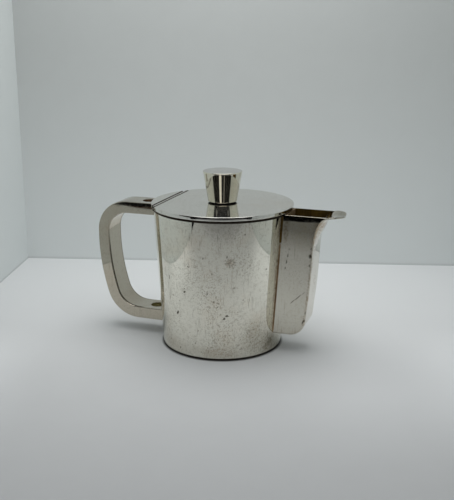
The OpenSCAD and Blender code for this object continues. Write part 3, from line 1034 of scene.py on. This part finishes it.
def build_spout_side(s, nm):
    yo, yi = SPOUT_W / 2, SPOUT_W / 2 - SPOUT_T
    sec = side_section(yo, yi)
    m, cols = len(sec), 40
    verts = []
    for u in range(cols + 1):
        for y, z in sec:
            x = wall_x(y, z, SINK)
            verts.append((x + (strip_x(z) - x) * u / cols, s * y, z))
    inner = [1 if max(sec[j][0], sec[(j + 1) % m][0]) <= yi + 0.001 else 0 for j in range(m)]
    ends = flat_cap(m) + flat_cap(m, cols * m)
    ob = to_mesh("spout_side_%s_sheet" % nm, verts, bands(cols + 1, m) + ends, [M_SPOUT, M_BROWN], angle=30,
                 slots=inner * cols + [0] * len(ends))
    spread_marks(ob, SPOUT_STAINS, SPOUT_CLUSTERS, SPOUT_MARKS)
    return ob


def build_strainer_edge():
    """The bright top edge of the strainer plate."""
    x, half_t, half_w, soft = 38.3 + 0.0595 * 87.0 + 0.4, 0.38, 9.85, 0.12
    edge = block(x - half_t, x + half_t, -half_w, half_w, 86.85, 87.19)
    ob = to_mesh("strainer_top_edge", *edge, [M_SPOUT])
    mod = ob.modifiers.new("soft", "BEVEL")
    mod.width, mod.segments = soft * MM, 3
    spread_marks(ob)
    return ob


place(build_front_strip(), "spout_front")
for s, nm in reversed(SIDES):
    place(build_spout_side(s, nm), "spout_side_%s" % nm)
place(build_strainer_edge(), slot="plate_inside")


# ---- soldered seams and joint lines
def tube(name, pts, r, mat, n=10, closed=False):
    """A round bead along pts. r is one radius, or a list with one for each point. Open ends taper."""
    verts = []
    m = len(pts)
    for i, p in enumerate(pts):
        a = Vector(pts[(i - 1) % m] if closed else pts[max(i - 1, 0)])
        b = Vector(pts[(i + 1) % m] if closed else pts[min(i + 1, m - 1)])
        t = (b - a).normalized()
        u = t.cross(Vector((1, 0, 0)))
        if u.length < 0.3:
            u = t.cross(Vector((0, 1, 0)))
        u.normalize()
        v = t.cross(u)
        k = r[i] if isinstance(r, list) else r
        k = k if closed or 0 < i < m - 1 else k * 0.3
        verts += [tuple(Vector(p) + u * c + v * s) for c, s, _ in circle(k, 0, n)]
    return to_mesh(name, verts, bands(m, n, closed) + ([] if closed else caps(m, n)), [mat])


SEAM_PARTS = (("lower", 12.4, 70, 0.55, M_SEAM), ("upper", 69.9, 86.6, 0.75, M_BROWN))


def spout_seams(y=SPOUT_W / 2 - 0.1, proud=0.02, n=29):
    """The solder where the spout meets the body: up both sides and along the foot."""
    for s, nm in SIDES:
        for part, z0, z1, r, mat in SEAM_PARTS:
            zs = [z0 + (z1 - z0) * k / n for k in range(n + 1)]
            pts = [(wall_x(y, z) + proud, s * y, z) for z in zs]
            place(tube("spout_seam_%s_%s" % (nm, part), pts, r, mat), slot="plate_inside")
    ys = [-10.7 + 21.4 * k / 24 for k in range(25)]
    pts = [(wall_x(y, 12.1) + proud, y, 12.15) for y in ys]
    place(tube("spout_seam_foot", pts, 0.35, M_SEAM), slot="plate_inside")


def handle_seam(nm, low, high, inset=0.05, proud=0.02):
    """The solder round one end of the handle."""
    h, low, high = HALF_BAR - inset, low + inset, high - inset
    corners = ((-h, low), (h, low), (h, high), (-h, high))
    loop = []
    for (y0, z0), (y1, z1), n in zip(corners, corners[1:] + corners[:1], (16, 8, 16, 8)):
        loop += [(y0 + (y1 - y0) * k / n, z0 + (z1 - z0) * k / n) for k in range(n)]
    pts = [(-wall_x(y, z) - proud, y, z) for y, z in loop]
    place(tube("handle_seam_%s" % nm, pts, 0.22, M_SEAM, n=8, closed=True), slot="plate_inside")


def handle_joint(s, nm, side, depth):
    """A dark joint line of the handle. The inner one on the right widens downward."""
    pts = [(p[0] + depth * n[0], s * HALF_GAP, p[1] + depth * n[1]) for p, n in STATIONS[2:-3]]
    r = 0.08
    if s < 0 and side == "inner":
        r = [0.07 + 0.24 * min(max((66.0 - q[2]) / 12.0, 0.0), 1.0) for q in pts]
    place(tube("handle_joint_%s_%s" % (side, nm), pts, r, M_SHADE_AND_GRIME, n=8), slot="plate_inside")


spout_seams()
handle_seam("top", BAR_Z - BAR, BAR_Z)
handle_seam("foot", BAR_FOOT, BAR_FOOT + BAR)
for s, nm in SIDES:
    handle_joint(s, nm, "outer", 0.05)
    handle_joint(s, nm, "inner", BAR)


# ---- light box
BL, BR, FL, FR = (-170, 186), (208, 164.5), (-196, -178), (194, -205)  # its corners, back and front
TOP = 420


def matt(m, rgb):
    """rgb with a faint cloud in it."""
    m.bsdf.inputs["Roughness"].default_value = 0.9
    return m.mix(m.ramp(m.noise(60, 4), 0.3, 0.7), tuple(c * 0.985 for c in rgb), rgb)


def plain(name, rgb, specular=0.5):
    m = Nodes(name)
    m.fill(m.bsdf, {"Base Color": matt(m, rgb), "Specular IOR Level": specular})
    return m.mat


def wall_material(name, rgb, foot):
    """A wall with painted light: another tone near the floor, and a painted shadow line along its foot;
    clear from behind.
    """
    m = Nodes(name)
    z = m.axes()[2]
    # painted light: the wall's tone changes over its lowest 20 cm
    col = m.mix(m.ramp(z, 0, 0.2), foot, matt(m, rgb))
    # painted shadow: a thin darker line along the wall's foot
    col = m.mix(m.ramp(z, 0.0008, 0.0024, 0.22, 0), col, (0.25, 0.25, 0.25))
    m.put(m.bsdf.inputs["Base Color"], col)
    behind = m.new("NewGeometry").outputs["Backfacing"]
    seen = m.new("LightPath").outputs["Is Camera Ray"]
    m.blend(m.times(behind, seen), m.bsdf, m.new("BsdfTransparent"))
    return m.mat


def floor_material(name, rgb, back):
    """The floor, with painted light: lighter at the back, to the right and at the sides, and a painted
    contact shadow where the foot stands.
    """
    m = Nodes(name)
    x, y, _ = m.axes()
    # painted light: the floor gets lighter towards the back
    col = m.mix(m.ramp(y, -0.22, 0.2, smooth=False), matt(m, rgb), back)
    # painted light: lighter to the right of the pot and out at both sides
    right = m.times(m.ramp(x, 0.015, 0.09), m.ramp(y, -0.175, -0.08, 0, 0.34))
    col = m.mix(right, col, (0.8, 0.81, 0.82))
    side = m.times(m.ramp(m.math("ABSOLUTE", x), 0.095, 0.18), m.ramp(y, 0.03, -0.04))
    col = m.mix(m.times(side, m.ramp(y, -0.17, -0.1)), col, (0.83, 0.84, 0.85))
    # painted contact shadow: near black in a ring round the foot, its centre 1 mm towards the front
    y_foot = m.math("ADD", y, 0.001)
    r = m.math("SQRT", m.math("ADD", m.times(y_foot, y_foot), m.times(x, x)))
    col = m.mix(m.ramp(r, 0.0372, 0.0396, 1, 0), col, (0.03, 0.027, 0.024))
    m.put(m.bsdf.inputs["Base Color"], col)
    return m.mat


def front_painted_shade(name):
    """Painted shade over the light box's front floor, seen only in reflections: dark, fading out towards
    the back and, a little, along it.
    """
    m = Nodes(name)
    m.bsdf.inputs["Base Color"].default_value = (0.012, 0.01, 0.008, 1)
    y = m.axes()[1]
    dense = m.math("MINIMUM", m.ramp(y, -0.345, -0.205, 1, 0, smooth=False), 0.6)
    faint = m.times(m.ramp(y, -0.215, -0.095, 1, 0, smooth=False), 0.1)
    m.blend(m.most(dense, faint), m.new("BsdfTransparent"), m.bsdf)
    return m.mat


def sheet(name, pts, mat, ghost=True):
    """A flat stage piece. A ghost shows only in reflections."""
    me = bpy.data.meshes.new(name)
    me.from_pydata([tuple(p) for p in pts], [], [list(range(len(pts)))])
    me.materials.append(mat)
    ob = add(name, me)
    for rays in ("camera", "diffuse", "transmission", "shadow") if ghost else ():
        setattr(ob, "visible_" + rays, False)
    return ob


def ground(name, x0, x1, y0, y1, z, mat, ghost=True):
    """A sheet on the floor that keeps its own axes, so its material can follow the light box."""
    corners = ((x0, y0), (x1, y0), (x1, y1), (x0, y1))
    ob = sheet(name, [(x * MM, y * MM, z * MM) for x, y in corners], mat, ghost)
    ob.rotation_euler = (0, 0, -TURN)


def upright(a, b, low, high):
    return [room(*a, low), room(*b, low), room(*b, high), room(*a, high)]


def on_wall(a, b, points):
    """Points given by how far forward and how high they are, 2 mm in front of the wall from a to b."""
    out = []
    for y, z in points:
        x = a[0] + (b[0] - a[0]) * (y - a[1]) / (b[1] - a[1])
        out.append(room(x - copysign(2, x), y, z))
    return out


def glow(name, pts, strength):
    m = Nodes(name)
    light = m.fill(m.new("Emission"), {"Color": (1, 1, 1, 1), "Strength": strength})
    m.link(light.outputs[0], m.out.inputs[0])
    sheet(name, pts, m.mat)


M_DARK = plain("dark_room", (0.002, 0.002, 0.002), specular=0)
FAR = 3000
M_FLOOR = floor_material("floor_white", (0.555, 0.56, 0.565), (0.735, 0.75, 0.755))
ground("floor", -FAR, FAR, -FAR, FAR, 0, M_FLOOR, ghost=False)
# each wall's foot tone is painted light
for nm, a, b, rgb, foot in (
    ("back_wall", BL, BR, (0.517, 0.536, 0.529), (0.7, 0.73, 0.73)),
    ("left_wall", FL, BL, (0.69, 0.725, 0.72), (0.71, 0.745, 0.745)),
    ("right_wall", BR, FR, (0.655, 0.685, 0.68), (0.63, 0.66, 0.655)),
):
    sheet(nm, upright(a, b, 0, TOP), wall_material(nm + "_white", rgb, foot), ghost=False)
for nm, outline in (
    ("dark_front", [(-600, -1400), (600, -1400), (600, -333), (-132, -333), (-144, -326), (-159, -319),
                    (-175, -313), (-600, -313)]),
    ("dark_left", [(-600, -313), (-192, -313), (-192, -240), (-194, -177), (-600, -177)]),
    ("dark_right", [(184, -333), (600, -333), (600, -203), (191, -203)]),
):
    sheet(nm, [room(x, y, 0.3) for x, y in outline], M_DARK)
sheet("dark_curtain", upright((-900, -800), (900, -800), 0, 1000), M_DARK)
CARD_EDGE = [(-111, 46.5), (-124, 43.3), (-144, 39), (-190, 28)]  # the left card's lower edge
CARD_LOW = [(-104, 48.3), (-114, 45.3), (-124, 42.3), (-144, 37.2), (-190, 24)]
sheet("dark_card_left", on_wall(BL, FL, [(-90, TOP), (-90, 51.5)] + CARD_EDGE + [(-190, TOP)]), M_DARK)
sheet("brown_card", on_wall(BL, FL, CARD_LOW + CARD_EDGE[::-1]), plain("brown_room", (0.1, 0.055, 0.035)))
sheet("dark_card_right", on_wall(BR, FR, [(-140, TOP), (-140, 66), (-205, 66), (-205, TOP)]), M_DARK)
# painted shade on the front floor, which only the silver reflects
ground("front_falloff", -198, 184, -333, -95, 0.2, front_painted_shade("front_painted_shade_sheet"))
GLOW_Y = 780  # how far in front of the pot the bright strips stand
for nm, start, end, strength in (("strip_wide", -22.5, -8, 0.95), ("strip_thin", 9, 12, 0.45)):
    x0, x1 = [GLOW_Y * tan(radians(a)) for a in (start, end)]
    glow(nm, upright((x0, -GLOW_Y), (x1, -GLOW_Y), 260, 900), strength)


# ---- lamps, world and camera
def lamp(name, at, aim, wide, deep, power, spread):
    data = bpy.data.lights.new(name, "AREA")
    data.shape = "RECTANGLE"
    data.size, data.size_y = wide * MM, deep * MM
    data.energy = power
    data.spread = radians(spread)
    ob = add(name, data)
    ob.location = room(*at)
    ob.rotation_euler = (room(*aim) - room(*at)).to_track_quat("-Z", "Y").to_euler()
    ob.visible_camera = False


def light_world(rgb, strength):
    world = bpy.data.worlds.new("world")
    bpy.context.scene.world = world
    world.use_nodes = True
    background = world.node_tree.nodes["Background"]
    background.inputs["Color"].default_value = (*rgb, 1)
    background.inputs["Strength"].default_value = strength


def add_camera(place_mm, heading, pitch, roll, focal_px, frame_px, sensor=36):
    """A camera with its angles in degrees and its focal length in pixels of the frame's longer side."""
    data = bpy.data.cameras.new("camera")
    ob = add("camera", data)
    data.sensor_width = sensor
    data.lens = focal_px * sensor / frame_px
    data.clip_start, data.clip_end = 0.01, 20.0
    ob.matrix_world = Matrix.Translation(Vector(place_mm) * MM)
    for axis, angle in (("Z", heading), ("X", 90 + pitch), ("Z", roll)):
        ob.matrix_world = ob.matrix_world @ Matrix.Rotation(radians(angle), 4, axis)
    bpy.context.scene.camera = ob


lamp("top_lamp", (0, 40, 400), (0, 85, 0), 280, 280, 0.47, spread=140)
lamp("wall_lamp", (0, -170, 385), (0, 186, 70), 300, 60, 0.06, spread=110)
light_world((0.6, 0.62, 0.625), 0.75)
add_camera((160.668, -452.764, 191.079), heading=19.1926, pitch=-15.3819, roll=0.2454, focal_px=789.36,
           frame_px=500)
bpy.context.scene.view_settings.view_transform = "Standard"

bpy.context.view_layer.update()
